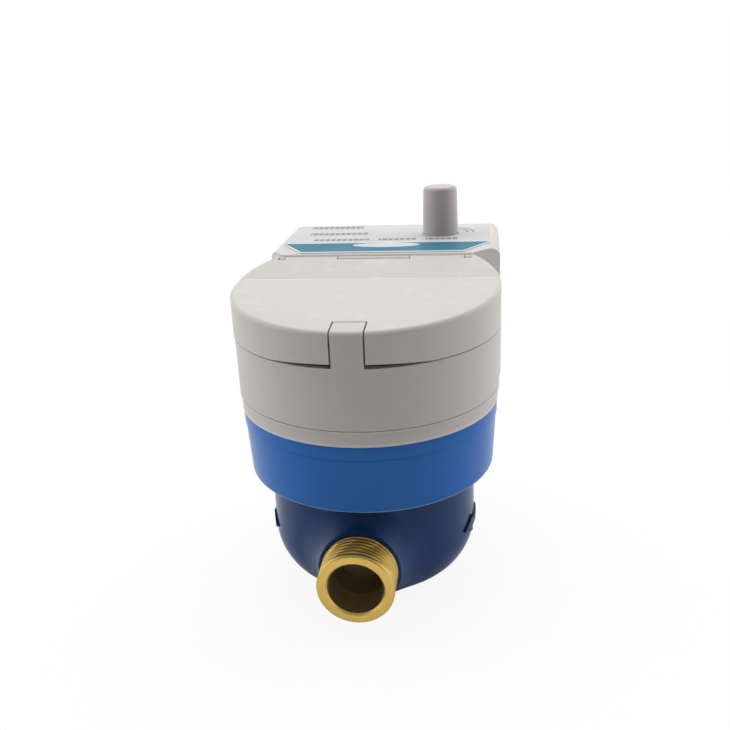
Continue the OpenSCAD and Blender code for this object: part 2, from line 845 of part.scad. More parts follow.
// Snap tongue on the front of the housing, flush with the lid
module tongue() {
    back_y = tongue_reach - lid_r;
    stem_r = min(housing_d / 2, lid_r) - wall;
    lip = lid_wall;
    difference() {
        intersection() {
            union() {
                lid_outside();
                translate([0, 0, rim_top - wall]) cylinder(d = housing_d, h = wall + over);
            }
            translate([-tongue_w / 2, -lid_d, rim_top - wall])
                cube([tongue_w, lid_d + back_y, box_rise + wall]);
        }
        intersection() {
            lid_inside(lip);
            translate([0, 0, rim_top]) cylinder(r = stem_r, h = box_rise);
        }
        translate([0, 0, rim_top - wall - over]) cylinder(r = stem_r, h = wall + 2 * over);
    }
}

// Upper shell: round wall, deck with the dial window, box, tongue and hinge knuckles
module housing() {
    roof_z = box_top - wall;
    boss_h = 16;
    color(housing_grey) difference() {
        union() {
            difference() {
                union() {
                    translate([0, 0, base_top]) cylinder(d = housing_d, h = rim_top - base_top);
                    box_outside();
                }
                translate([0, 0, base_top - over]) {
                    cylinder(d = housing_d - 2 * wall, h = deck_z - base_top + over);
                    linear_extrude(deck_z - base_top + over) box_plan(wall);
                }
                translate([0, 0, deck_z - over]) linear_extrude(roof_z - deck_z + over) upper_plan(wall);
                translate([0, 0, deck_top]) intersection() {
                    cylinder(d = housing_d - 2 * wall, h = box_rise);
                    translate([-box_w / 2, -housing_d, 0]) cube([box_w, housing_d + box_front, box_rise]);
                }
                translate([0, 0, deck_z - over]) cylinder(d = window_d, h = wall + 2 * over);
                translate([0, 0, deck_top - 1]) cylinder(d1 = window_d, d2 = window_d + 4, h = 1 + 0.01);
            }
            tongue();
            housing_knuckle(-mid_knuckle, mid_knuckle);
            housing_knuckle(knuckle_end - end_knuckle, knuckle_end);
            housing_knuckle(-knuckle_end, end_knuckle - knuckle_end);
            for (s = [-1, 1]) {
                for (y = screw_ys)
                    translate([box_shift + s * screw_x, y, base_top]) cylinder(d = screw_boss_d, h = boss_h);
                for (dy = [-1, 1])
                    translate([s * board_post_x, board_y + dy * board_post_dy, board_z + board_t])
                        cylinder(d = board_post_d, h = roof_z - board_z - board_t + over);
            }
        }
        pin_bore(pin_d);
        translate([antenna_x, antenna_y, roof_z - over])
            cylinder(d = spigot_d + 2 * seat_gap, h = wall + 2 * over);
        for (s = [-1, 1]) {
            for (y = screw_ys)
                translate([box_shift + s * screw_x, y, base_top - over]) cylinder(d = screw_d, h = screw_len);
            for (dy = [-1, 1])
                translate([s * board_post_x, board_y + dy * board_post_dy, board_z])
                    cylinder(d = board_screw_d, h = board_t + board_screw_bite + 1.4);
        }
    }
}

// Hollow of the lid: open at the back between the end knuckles, closed outside them
module lid_hollow() {
    open_w = 2 * (knuckle_end + knuckle_gap);
    intersection() {
        lid_inside(lid_wall);
        union() {
            half_space(lid_cut_y - lid_wall, true);
            translate([-open_w / 2, 0, lid_z - 2 * over]) cube([open_w, lid_d, 2 * box_rise]);
        }
    }
}

// Hinged lid: sloping top with a crease, round wall, finger gap and notch for the tongue
module lid() {
    notch_w = tongue_w + 2 * tongue_slit;
    gap_r = 290;
    back_y = tongue_reach - lid_r + tongue_slit;
    relief = knuckle_d / 2 + knuckle_gap;
    color(lid_grey) difference() {
        union() {
            difference() {
                lid_outside();
                lid_hollow();
                translate([-knuckle_end - knuckle_gap, hinge_y, lid_z - over])
                    cube([2 * (knuckle_end + knuckle_gap), lid_d, 2 * box_rise]);
                for (span = [[-mid_knuckle - knuckle_gap, mid_knuckle + knuckle_gap],
                        [lid_knuckle_out, knuckle_end + knuckle_gap],
                        [-knuckle_end - knuckle_gap, -lid_knuckle_out]])
                    translate([span[0], hinge_y - relief, hinge_z - knuckle_d])
                        cube([span[1] - span[0], 2 * knuckle_d, 2 * knuckle_d]);
            }
            knuckle(lid_knuckle_in, lid_knuckle_out);
            knuckle(-lid_knuckle_out, -lid_knuckle_in);
        }
        pin_bore(pin_d + 2 * run_gap);
        translate([-notch_w / 2, -lid_d, lid_z - over]) cube([notch_w, lid_d + back_y, 2 * box_rise]);
        translate([0, -lid_d / 4, lid_z + finger_gap - gap_r]) rotate([90, 0, 0])
            cylinder(r = gap_r, h = lid_d);
    }
}

// Steel pin of the lid hinge
module hinge_pin() {
    color(steel) translate([-knuckle_end, hinge_y, hinge_z]) rotate([0, 90, 0])
        cylinder(d = pin_d, h = 2 * knuckle_end);
}

// Printed label on the box top, with cut front corners
module label() {
    half = box_w / 2 - label_margin;
    color(label_white) translate([box_shift, 0, box_top]) difference() {
        linear_extrude(label_t)
            polygon([[-half, label_rear], [half, label_rear], [half, label_tip],
                [half - label_cut, label_front], [label_cut - half, label_front], [-half, label_tip]]);
        translate([antenna_x - box_shift, antenna_y, -over])
            cylinder(d = antenna_d + 2 * clear_gap, h = label_t + 2 * over);
    }
}

// Plastic cap over the antenna, with a spigot through the box top
module antenna_cap() {
    draft = 0.4;
    edge = 1.6;
    spigot_h = 5;
    bore = 8.6;
    foot_r = antenna_d / 2;
    color(antenna_grey) translate([antenna_x, antenna_y, box_top]) difference() {
        union() {
            rotate_extrude() {
                polygon([[0, 0], [foot_r, 0], [foot_r - draft, antenna_h - edge], [0, antenna_h - edge]]);
                square([foot_r - draft - edge, antenna_h]);
                intersection() {
                    translate([foot_r - draft - edge, antenna_h - edge]) circle(edge);
                    square([foot_r, antenna_h]);
                }
            }
            translate([0, 0, -spigot_h]) cylinder(d = spigot_d, h = spigot_h + over);
        }
        translate([0, 0, -spigot_h - over]) cylinder(d = bore, h = spigot_h + antenna_h - 3 + over);
    }
}

// Wound radio antenna standing on the board
module antenna_element() {
    board_top = board_z + board_t;
    core_d = 6;
    turns = 8;
    wire = 1.2;
    coil_foot = 3;
    height = box_top + antenna_h - 5 - board_top;
    color(brass) translate([antenna_x, antenna_y, board_top]) {
        cylinder(d = core_d, h = height);
        for (i = [0:turns - 1]) translate([0, 0, coil_foot + i * (height - 2 * coil_foot) / (turns - 1)])
            rotate_extrude() translate([core_d / 2, 0]) circle(d = wire);
    }
}

// Circuit board under the roof of the box
module circuit_board() {
    color(board_green) difference() {
        translate([0, board_y, board_z]) linear_extrude(board_t) round_rect(board_w, board_d, 2);
        for (sx = [-1, 1], sy = [-1, 1])
            translate([sx * board_post_x, board_y + sy * board_post_dy, board_z - over])
                cylinder(d = board_screw_d + 2 * seat_gap + 0.2, h = board_t + 2 * over);
    }
}

// Screened radio module on the underside of the board
module radio_module() {
    color(steel) translate([radio_x, board_y - radio_size.y / 2, board_z - radio_size.z]) cube(radio_size);
}

// Four screws that hold the board to the roof
module board_screws() {
    color(steel) for (sx = [-1, 1], sy = [-1, 1])
        translate([sx * board_post_x, board_y + sy * board_post_dy, board_z - board_screw_head_t]) {
            cylinder(d = board_screw_head_d, h = board_screw_head_t);
            cylinder(d = board_screw_d, h = board_screw_head_t + board_t + board_screw_bite);
        }
}

// Lithium cell in the saddles of the lower shell
module battery() {
    color([0.20, 0.45, 0.30]) translate([-battery_len / 2, battery_y, battery_z]) rotate([0, 90, 0]) {
        cylinder(d = battery_d, h = battery_len - 1);
        cylinder(d = battery_d * 0.35, h = battery_len);
    }
}

// Small board with the pulse sensor, behind the register can
module sensor_board() {
    color(board_green) translate([-sensor_w / 2, can_d / 2 + clear_gap, base_top + 1])
        cube([sensor_w, board_t, sensor_h]);
}

// Four screws that close the two shells from below
module shell_screws() {
    color(steel) for (s = [-1, 1], y = screw_ys)
        translate([box_shift + s * screw_x, y, collar_top + 0.4]) {
            cylinder(d = screw_head_d, h = screw_head_t);
            cylinder(d = screw_d, h = base_h + screw_len - 3);
        }
}

meter_body();
inlet_strainer();
impeller();
impeller_magnet();
impeller_pivot();
chamber_cover();
cover_seal();
clamp_ring();
register_can();
follower_magnet();
follower_spindle();
flow_star();
first_wheel();
first_hand();
second_wheel();
second_hand();
movement_plate();
movement_bridge();
roller_shaft();
for (i = [0:rollers - 1])
    number_roller(i);
dial_plate();
glass_gasket();
register_glass();
collar_ring();
base_shell();
housing();
lid();
hinge_pin();
label();
antenna_cap();
antenna_element();
circuit_board();
radio_module();
board_screws();
battery();
sensor_board();
shell_screws();
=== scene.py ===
import math
import bpy
import bmesh
import numpy as np
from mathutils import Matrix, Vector


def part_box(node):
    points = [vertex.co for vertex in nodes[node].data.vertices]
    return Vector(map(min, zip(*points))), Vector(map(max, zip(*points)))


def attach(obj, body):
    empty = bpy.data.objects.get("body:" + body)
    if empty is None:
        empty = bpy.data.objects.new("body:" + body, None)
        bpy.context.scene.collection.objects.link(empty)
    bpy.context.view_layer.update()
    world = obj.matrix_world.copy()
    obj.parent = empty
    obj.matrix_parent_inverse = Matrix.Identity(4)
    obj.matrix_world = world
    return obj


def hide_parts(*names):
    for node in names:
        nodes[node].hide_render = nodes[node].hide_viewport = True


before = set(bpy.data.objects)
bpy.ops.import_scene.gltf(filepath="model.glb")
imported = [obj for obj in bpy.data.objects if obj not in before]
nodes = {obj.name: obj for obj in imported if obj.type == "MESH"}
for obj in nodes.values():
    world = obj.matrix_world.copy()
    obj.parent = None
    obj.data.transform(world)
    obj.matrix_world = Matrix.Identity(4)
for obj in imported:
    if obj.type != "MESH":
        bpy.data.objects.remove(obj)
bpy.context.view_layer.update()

mm = 0.001
print("stage: frame loaded,", len(nodes), "nodes")

# camera at the photograph's angle
view = {"place": (0.04143869, -0.28867089, 0.18929555), "turn": (69.5969, 2.4605, 7.5338),
        "lens": 41.8906, "sensor": 36.0, "nearest": 0.01}
bpy.ops.object.select_all(action="DESELECT")
bpy.ops.object.camera_add(location=view["place"], rotation=[math.radians(a) for a in view["turn"]])
camera = bpy.context.object
camera.data.lens = view["lens"]
camera.data.sensor_width = view["sensor"]
camera.data.clip_start = view["nearest"]
bpy.context.scene.camera = camera
bpy.context.scene.view_settings.view_transform = "Standard"
print("stage: camera set")


# shader maths: a wire is one output of a node, and sums on wires add Math nodes
class Wire:
    def __init__(self, tree, socket=None):
        self.tree = tree
        self.socket = socket

    def node(self, kind, settings=None, inputs=None, out=0):
        made = self.tree.nodes.new(kind)
        for key, value in (settings or {}).items():
            setattr(made, key, value)
        for key, value in (inputs or {}).items():
            if isinstance(value, Wire):
                self.tree.links.new(value.socket, made.inputs[key])
            else:
                made.inputs[key].default_value = value
        return Wire(self.tree, made.outputs[out] if len(made.outputs) else None)

    def maths(self, operation, first, second=0.0):
        return self.node("ShaderNodeMath", {"operation": operation}, {0: first, 1: second})

    def __add__(self, other):
        return self.maths("ADD", self, other)

    def __radd__(self, other):
        return self.maths("ADD", other, self)

    def __sub__(self, other):
        return self.maths("SUBTRACT", self, other)

    def __rsub__(self, other):
        return self.maths("SUBTRACT", other, self)

    def __mul__(self, other):
        return self.maths("MULTIPLY", self, other)

    def __rmul__(self, other):
        return self.maths("MULTIPLY", other, self)

    def __truediv__(self, other):
        return self.maths("DIVIDE", self, other)

    def __rtruediv__(self, other):
        return self.maths("DIVIDE", other, self)

    def __pow__(self, other):
        return self.maths("POWER", self, other)

    def __rpow__(self, other):
        return self.maths("POWER", other, self)

    def __gt__(self, other):
        return self.maths("GREATER_THAN", self, other)

    def __lt__(self, other):
        return self.maths("LESS_THAN", self, other)

    def __abs__(self):
        return self.maths("ABSOLUTE", self)


def largerOf(first, second):
    return first.maths("MAXIMUM", first, second)


def smallerOf(first, second):
    return first.maths("MINIMUM", first, second)


def fraction(value):
    return value.maths("FRACT", value)


def within(value, low, high):  # 1 between two limits
    return (value > low) * (value < high)


def distance(x, y):
    return (x * x + y * y) ** 0.5


def blendColours(mask, first, second):  # first where mask is 0, second where it is 1
    return mask.node("ShaderNodeMix", {"data_type": "RGBA"}, {"Factor": mask, 6: first, 7: second}, out=2)


def newFinish(name):
    material = bpy.data.materials.new(name)
    material.use_nodes = True
    material.node_tree.nodes.clear()
    return material, Wire(material.node_tree)


def showFinish(start, shader):
    start.node("ShaderNodeOutputMaterial", None, {"Surface": shader})


def objectPlace(start):
    return start.node("ShaderNodeTexCoord", None, None, out=3)


def parts(vector):
    return [vector.node("ShaderNodeSeparateXYZ", None, {0: vector}, out=i) for i in range(3)]


def axes(start):
    return parts(objectPlace(start))


def axesInMm(start):
    return [value * 1000 for value in axes(start)]


def noiseOf(start, scale, detail=3.0):
    return start.node("ShaderNodeTexNoise", None, {
        "Vector": objectPlace(start), "Scale": scale, "Detail": detail})


def rgba(colour, gain=1.0):
    return (min(colour[0] * gain, 1.0), min(colour[1] * gain, 1.0), min(colour[2] * gain, 1.0), 1.0)


def bumpOf(start, height, strength, depth):
    return start.node("ShaderNodeBump", None, {"Height": height, "Strength": strength, "Distance": depth})


# moulded plastic, unless a look says otherwise
moulded = {"spread": 0.06, "cloudScale": 60.0, "patches": 0.12, "gloss": 0.5, "ior": 1.48, "lines": [],
           "grainScale": 2600.0, "bump": 0.12, "grainDepth": 0.0002, "rampShadeGain": 0.94,
           "scuffScale": 170.0, "scuffFrom": 0.54, "scuffShare": 2.4, "scuffGain": 1.13}


def mouldedFinish(name, ownLook):  # faint mottling and spark-eroded grain
    look = {**moulded, **ownLook}
    material, start = newFinish(name)
    cloud = noiseOf(start, look["cloudScale"], 4.0)
    grain = noiseOf(start, look["grainScale"], 2.0)
    base, spread = look["colour"], look["spread"]
    colour = blendColours(cloud, rgba(base, 1 - spread), rgba(base, 1 + spread))
    if {"ramp", "scuffed", "lines"} & set(ownLook):  # these go by place
        x, y, z = axesInMm(start)
    if "ramp" in look:  # the rear slope of the lid is painted darker, as painted shade
        colour = blendColours(y > look["ramp"], colour, rgba(base, look["rampShadeGain"]))
    if "scuffed" in look:  # soft light scuffs above a height
        marks = noiseOf(start, look["scuffScale"], 3.0) - look["scuffFrom"]
        scuffs = largerOf(marks, 0.0) * look["scuffShare"] * (z > look["scuffed"])
        colour = blendColours(scuffs, colour, rgba(base, look["scuffGain"]))
    for height, half, radius, tint, share in look["lines"]:  # painted shade in the seams and painted highlights on rounded edges, outside a radius
        line = (abs(z - height) < half) * (distance(x, y) > radius) * share
        colour = blendColours(line, colour, rgba(tint))
    shader = start.node("ShaderNodeBsdfPrincipled", None, {
        "Base Color": colour, "Roughness": look["rough"] + (cloud - 0.5) * look["patches"],
        "IOR": look["ior"], "Specular IOR Level": look["gloss"],
        "Normal": bumpOf(start, grain, look["bump"], look["grainDepth"])})
    showFinish(start, shader)
    return material


# machined metal
machined = {"stainScale": 90.0, "across": 40, "along": 2600, "streaks": 0.2, "bump": 0.15,
            "lineDepth": 0.0001}


def metalFinish(name, look):  # fine turning lines about the pipe axis, and stains
    material, start = newFinish(name)
    x, y, z = axes(start)
    cloud = noiseOf(start, machined["stainScale"], 5.0)
    across, along = machined["across"], machined["along"]
    stretched = start.node("ShaderNodeCombineXYZ", None, {0: x * across, 1: y * along, 2: z * across})
    lines = start.node("ShaderNodeTexNoise", None, {"Vector": stretched, "Scale": 1.0, "Detail": 2.0})
    shader = start.node("ShaderNodeBsdfPrincipled", None, {
        "Base Color": blendColours(cloud, rgba(look["colour"]), rgba(look["stain"])), "Metallic": 1.0,
        "Roughness": look["rough"] + (lines - 0.5) * machined["streaks"],
        "Normal": bumpOf(start, lines, machined["bump"], machined["lineDepth"])})
    showFinish(start, shader)
    return material


# paint on the casting
enamel = {"rippleScale": 420.0, "cloudScale": 35.0, "spread": 0.12, "patches": 0.06, "ior": 1.5,
          "gloss": 0.22, "bump": 0.03, "rippleDepth": 0.0003}


def paintFinish(name, look):  # glossy enamel over cast brass
    material, start = newFinish(name)
    ripple = noiseOf(start, enamel["rippleScale"], 2.0)
    cloud = noiseOf(start, enamel["cloudScale"], 3.0)
    base, spread = look["colour"], enamel["spread"]
    shader = start.node("ShaderNodeBsdfPrincipled", None, {
        "Base Color": blendColours(cloud, rgba(base, 1 - spread), rgba(base, 1 + spread)),
        "Roughness": look["rough"] + (cloud - 0.5) * enamel["patches"], "IOR": enamel["ior"],
        "Specular IOR Level": enamel["gloss"],
        "Normal": bumpOf(start, ripple, enamel["bump"], enamel["rippleDepth"])})
    showFinish(start, shader)
    return material


# lines are (height, half width, least radius, tint, share), in mm: dark tints are painted shade in seams,
# light tints are painted highlights on rounded edges
plastics = {
    # the lid's darker rear slope is painted shade
    "lidPlastic": {"colour": (0.655, 0.625, 0.59), "rough": 0.5, "spread": 0.035, "ramp": 3.5,
                   # the lid's dark line is painted shade in the seam over the housing
                   "scuffed": 107.0, "lines": [(97.3, 0.2, 47.2, (0.10, 0.09, 0.085), 0.8)]},
    # the crease bead's lighter copy of the lid plastic is a painted highlight
    "lidCreaseHighlight": {"colour": (0.88, 0.86, 0.83), "rough": 0.45, "spread": 0.02},
    "housingPlastic": {"colour": (0.645, 0.605, 0.58), "rough": 0.5, "spread": 0.04,
                       # the housing's dark line is painted shade in the seam; its light lines are painted
                       # highlights on rounded edges
                       "lines": [(75.7, 0.24, 44.0, (0.09, 0.08, 0.075), 0.85),
                                 (75.1, 0.32, 44.0, (0.84, 0.81, 0.79), 0.5),
                                 (70.55, 0.45, 44.0, (0.84, 0.81, 0.79), 0.45)]},
    "antennaPlastic": {"colour": (0.555, 0.51, 0.50), "rough": 0.5, "spread": 0.04},
    "collarPlastic": {"colour": (0.006, 0.15, 0.54), "rough": 0.28, "spread": 0.03, "gloss": 0.32,
                      "patches": 0.02, "cloudScale": 25.0,
                      # the collar's light line is a painted highlight on its lower rounded edge
                      "lines": [(45.45, 0.35, 44.0, (0.25, 0.42, 0.62), 0.7)]},
    "whitePlastic": {"colour": (0.78, 0.77, 0.72), "rough": 0.45, "spread": 0.03},
    "canPlastic": {"colour": (0.74, 0.75, 0.74), "rough": 0.4, "spread": 0.03},
    "redPlastic": {"colour": (0.55, 0.03, 0.03), "rough": 0.4, "spread": 0.05},
    "rollerBlack": {"colour": (0.02, 0.02, 0.022), "rough": 0.45, "spread": 0.1},
    "numeralInk": {"colour": (0.85, 0.85, 0.83), "rough": 0.5, "spread": 0.03},
    "rubber": {"colour": (0.02, 0.02, 0.02), "rough": 0.75, "spread": 0.15},
    "boardGreen": {"colour": (0.015, 0.13, 0.05), "rough": 0.35, "spread": 0.15},
    "batteryWrap": {"colour": (0.03, 0.16, 0.07), "rough": 0.3, "spread": 0.05},
    "magnetGrey": {"colour": (0.05, 0.05, 0.055), "rough": 0.6, "spread": 0.2},
}
paints = {
    "navyPaint": {"colour": (0.010, 0.046, 0.16), "rough": 0.16},
    # the raised arrows take a darker copy of the navy paint, as painted shade on their walls
    "arrowShadedPaint": {"colour": (0.006, 0.024, 0.075), "rough": 0.3},
}
metals = {
    "brass": {"colour": (0.95, 0.67, 0.18), "stain": (0.76, 0.51, 0.13), "rough": 0.32},
    "rawBore": {"colour": (0.50, 0.43, 0.31), "stain": (0.32, 0.27, 0.19), "rough": 0.6},
    "boreWall": {"colour": (0.70, 0.58, 0.36), "stain": (0.48, 0.39, 0.23), "rough": 0.5},
    "steel": {"colour": (0.62, 0.63, 0.65), "stain": (0.5, 0.5, 0.52), "rough": 0.32},
}
finishes = {name: mouldedFinish(name, look) for name, look in plastics.items()}
finishes.update({name: paintFinish(name, look) for name, look in paints.items()})
finishes.update({name: metalFinish(name, look) for name, look in metals.items()})
print("stage: finishes made,", len(finishes))


# small modelling tools
def freshSelection():
    if bpy.context.object and bpy.context.object.mode != "OBJECT":
        bpy.ops.object.mode_set(mode="OBJECT")
    bpy.ops.object.select_all(action="DESELECT")


def take(piece):  # the piece that the next operators act on
    freshSelection()
    piece.select_set(True)
    bpy.context.view_layer.objects.active = piece


def editAll(piece):  # edit mode with the whole piece selected
    take(piece)
    bpy.ops.object.mode_set(mode="EDIT")
    bpy.ops.mesh.select_all(action="SELECT")


def endEdit():
    bpy.ops.object.mode_set(mode="OBJECT")


# name, place, finish and body of a finished piece
def settle(piece, name, finish, body="meter", smoothAngle=35.0):
    take(piece)
    piece.name = name
    piece.data.name = name
    bpy.ops.object.transform_apply(location=True, rotation=True, scale=True)
    bpy.ops.object.shade_smooth_by_angle(angle=math.radians(smoothAngle))
    piece.data.materials.clear()
    piece.data.materials.append(finishes[finish])
    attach(piece, body)


def applyModifier(piece, kind, **settings):
    take(piece)
    modifier = piece.modifiers.new(kind.lower(), kind)
    for key, value in settings.items():
        setattr(modifier, key, value)
    bpy.ops.object.modifier_apply(modifier=modifier.name)


def movePoints(piece, shape):  # moves all points by a function of an array in mm
    flat = np.empty(len(piece.data.vertices) * 3)
    piece.data.vertices.foreach_get("co", flat)
    moved = shape(flat.reshape(-1, 3) / mm)
    piece.data.vertices.foreach_set("co", (moved * mm).ravel())
    piece.data.update()


def cutAway(piece, cutter, operation="DIFFERENCE"):
    applyModifier(piece, "BOOLEAN", object=cutter, operation=operation, solver="EXACT")
    bpy.data.objects.remove(cutter, do_unlink=True)


def block(low, high):  # box between two corners, mm
    freshSelection()
    bpy.ops.mesh.primitive_cube_add(size=mm)
    piece = bpy.context.object
    editAll(piece)
    bpy.ops.transform.resize(value=[b - a for a, b in zip(low, high)])
    bpy.ops.transform.translate(value=[(a + b) / 2 * mm for a, b in zip(low, high)])
    endEdit()
    return piece


def placeOf(point, axis):  # profile point (radius, along) in mm
    radius, along = point[0] * mm, point[1] * mm
    return Vector((radius, 0, along)) if axis == "Z" else Vector((radius, along, 0))


# lathe: extrudes a point along the profile and spins the line
def turned(profile, centre=(0, 0, 0), axis="Z", steps=128):
    freshSelection()
    bpy.ops.mesh.primitive_plane_add(size=mm)
    piece = bpy.context.object
    bpy.ops.object.mode_set(mode="EDIT")
    bpy.ops.mesh.select_mode(type="VERT")
    bpy.ops.mesh.select_all(action="SELECT")
    bpy.ops.mesh.merge(type="CENTER")
    bpy.ops.transform.translate(value=placeOf(profile[0], axis))
    for before, after in zip(profile, profile[1:]):
        move = placeOf(after, axis) - placeOf(before, axis)
        bpy.ops.mesh.extrude_region_move(TRANSFORM_OT_translate={"value": move})
    bpy.ops.mesh.select_all(action="SELECT")
    spinAxis = (0, 0, 1) if axis == "Z" else (0, 1, 0)
    bpy.ops.mesh.spin(steps=steps, angle=2 * math.pi, center=(0, 0, 0), axis=spinAxis)
    bpy.ops.mesh.select_all(action="SELECT")
    bpy.ops.mesh.remove_doubles(threshold=0.000002)
    bpy.ops.mesh.normals_make_consistent(inside=False)
    bpy.ops.mesh.select_all(action="SELECT")
    bpy.ops.transform.translate(value=[c * mm for c in centre])
    endEdit()
    return piece


def arc(centre, radius, start, end, count):  # points of a profile's round corner, degrees
    angles = [math.radians(start + (end - start) * i / count) for i in range(count + 1)]
    return [(centre[0] + radius * math.cos(a), centre[1] + radius * math.sin(a)) for a in angles]


# cast bowl with both necks, mm
bowl = {"radius": 38.2, "corner": 20.0, "rim": 58.0, "neck": 14.0, "pipeHeight": 22.0, "neckEnd": 43.5,
        "fillet": 10.0, "voxel": 0.85, "chamber": 28.0, "chamberFloor": 8.0, "seat": 33.0, "seatHeight": 36.0,
        "bore": 9.5, "boreEnd": 34.2, "spare": 3.0, "swell": 3.0, "swellStart": 2.0, "swellEnd": 4.0,
        "fixed": 1.5, "walks": 8, "probe": 0.01, "leastSlope": 0.25, "near": 0.05}


def castGap(p):  # how far points lie outside the cast form, mm
    radius = np.hypot(p[:, 0], p[:, 1])
    fromCorner = radius - (bowl["radius"] - bowl["corner"])
    below = bowl["corner"] - p[:, 2]
    rounded = np.hypot(np.maximum(fromCorner, 0), np.maximum(below, 0)) - bowl["corner"]
    plain = np.maximum(radius - bowl["radius"], -p[:, 2])
    side = np.where((fromCorner > 0) & (below > 0), rounded, plain)
    neck = np.hypot(p[:, 0], p[:, 2] - bowl["pipeHeight"]) - bowl["neck"]
    k = bowl["fillet"]
    return np.maximum(k, np.minimum(side, neck)) - np.hypot(np.maximum(k - side, 0), np.maximum(k - neck, 0))


def ontoCast(points):  # walks each point down to the cast surface
    underRim = points[:, 2] < bowl["rim"] + bowl["fixed"]
    free = underRim & (np.abs(points[:, 1]) < bowl["neckEnd"] + bowl["fixed"])
    probe = bowl["probe"]
    for walk in range(bowl["walks"]):
        p = points[free]
        slope = np.stack([(castGap(p + probe * e) - castGap(p - probe * e)) / (2 * probe)
                          for e in np.eye(3)], axis=1)
        steep = np.maximum((slope ** 2).sum(1), bowl["leastSlope"])
        points[free] = p - (castGap(p) / steep)[:, None] * slope
    points[:, 2] = np.maximum(points[:, 2], 0)
    return points


def castBowl():
    r, c, neck, pipe = bowl["radius"], bowl["corner"], bowl["neck"], (0, 0, bowl["pipeHeight"])
    above, reach = bowl["rim"] + bowl["spare"], bowl["neckEnd"] + bowl["spare"]
    body = turned([(0, 0)] + arc((r - c, c), c, -90, 0, 24) + [(r, above), (0, above)])
    wide, start, end = neck + bowl["swell"], r + bowl["swellStart"], r - bowl["swellEnd"]
    pipes = turned([(0, -reach), (neck, -reach), (neck, -start), (wide, -end),
                    (wide, end), (neck, start), (neck, reach), (0, reach)], centre=pipe, axis="Y")
    cutAway(body, pipes, "UNION")
    applyModifier(body, "REMESH", mode="VOXEL", voxel_size=bowl["voxel"] * mm)
    applyModifier(body, "SMOOTH", factor=0.5, iterations=4)
    movePoints(body, ontoCast)
    for place, normal in (((0, 0, bowl["rim"]), (0, 0, 1)), ((0, bowl["neckEnd"], 0), (0, 1, 0)),
                          ((0, -bowl["neckEnd"], 0), (0, -1, 0))):
        editAll(body)
        bpy.ops.mesh.bisect(plane_co=[v * mm for v in place], plane_no=normal,
                            use_fill=True, clear_outer=True)
        endEdit()
    hollow = turned([(0, bowl["chamberFloor"]), (bowl["chamber"], bowl["chamberFloor"]),
                     (bowl["chamber"], bowl["seatHeight"]), (bowl["seat"], bowl["seatHeight"]),
                     (bowl["seat"], above), (0, above)])
    cutAway(body, hollow)
    for side in (-1, 1):
        bore = turned([(0, side * bowl["boreEnd"]), (bowl["bore"], side * bowl["boreEnd"]),
                       (bowl["bore"], side * reach), (0, side * reach)], centre=pipe, axis="Y", steps=96)
        cutAway(body, bore)
    settle(body, "castBowl", "navyPaint", smoothAngle=40)
    body.data.materials.append(finishes["rawBore"])
    near = bowl["near"]
    for face in body.data.polygons:  # the bores and the chamber are bare metal
        x, y, z = face.center / mm
        inBore = math.hypot(x, z - bowl["pipeHeight"]) < bowl["bore"] + near and abs(y) > bowl["chamber"]
        inChamber = math.hypot(x, y) < bowl["seat"] + near and z > bowl["chamberFloor"] - near
        neckFace = abs(face.normal.y) > 0.9 and abs(abs(y) - bowl["neckEnd"]) < near
        face.material_index = 1 if (inBore or inChamber) and not neckFace else 0
    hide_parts("meter_body")
    print("stage: bowl cast,", len(body.data.polygons), "faces")


castBowl()

# raised flow arrows on the sides of the bowl, mm: steps are (share of the head's length, share of its width)
arrow = {"shaft": 13.0, "width": 2.4, "head": 6.8, "headLength": 7.5, "raised": 0.75, "root": 0.8,
         "middle": -2.0, "height": 21.4, "edge": 0.3, "edgeAngle": 50.0, "near": 0.01, "cells": (12, 4),
         "steps": [(0.02, 1.0), (0.35, 0.65), (0.35, 0.35), (0.3, 0.08)]}


def flowArrow(name, side):
    freshSelection()
    across, up = arrow["cells"]
    bpy.ops.mesh.primitive_grid_add(x_subdivisions=across, y_subdivisions=up, size=mm)
    piece = bpy.context.object
    editAll(piece)
    bpy.ops.transform.resize(value=(arrow["shaft"], arrow["width"], 1))
    bpy.ops.mesh.select_mode(type="VERT")
    bpy.ops.mesh.select_all(action="DESELECT")
    form = bmesh.from_edit_mesh(piece.data)
    for vert in form.verts:  # the end of the shaft
        vert.select = vert.co.x / mm > arrow["shaft"] / 2 - arrow["near"]
    form.select_flush(True)
    bmesh.update_edit_mesh(piece.data)
    width = arrow["width"]
    for reach, share in arrow["steps"]:
        grown = arrow["head"] * share
        move = (reach * arrow["headLength"] * mm, 0, 0)
        bpy.ops.mesh.extrude_edges_move(TRANSFORM_OT_translate={"value": move})
        bpy.ops.transform.resize(value=(1, grown / width, 1), center_override=(0, 0, 0))
        width = grown
    endEdit()

    def wrap(p):
        angle = (arrow["middle"] - p[:, 0]) / bowl["radius"]  # the tip points to the outlet
        radius = bowl["radius"] + arrow["raised"]
        return np.stack([side * radius * np.cos(angle), radius * np.sin(angle),
                         arrow["height"] + p[:, 1]], axis=1)

    movePoints(piece, wrap)
    editAll(piece)
    bpy.ops.mesh.remove_doubles(threshold=0.00001)
    bpy.ops.mesh.normals_make_consistent(inside=False)
    bpy.ops.mesh.select_all(action="SELECT")
    form = bmesh.from_edit_mesh(piece.data)
    if sum(face.normal.x * side for face in form.faces) < 0:
        bpy.ops.mesh.flip_normals()
    endEdit()
    applyModifier(piece, "SOLIDIFY", thickness=(arrow["raised"] + arrow["root"]) * mm, offset=-1.0)
    applyModifier(piece, "BEVEL", width=arrow["edge"] * mm, segments=3, limit_method="ANGLE",
                  angle_limit=math.radians(arrow["edgeAngle"]))
    # the darker paint on the arrows is painted shade
    settle(piece, name, "arrowShadedPaint", smoothAngle=40)


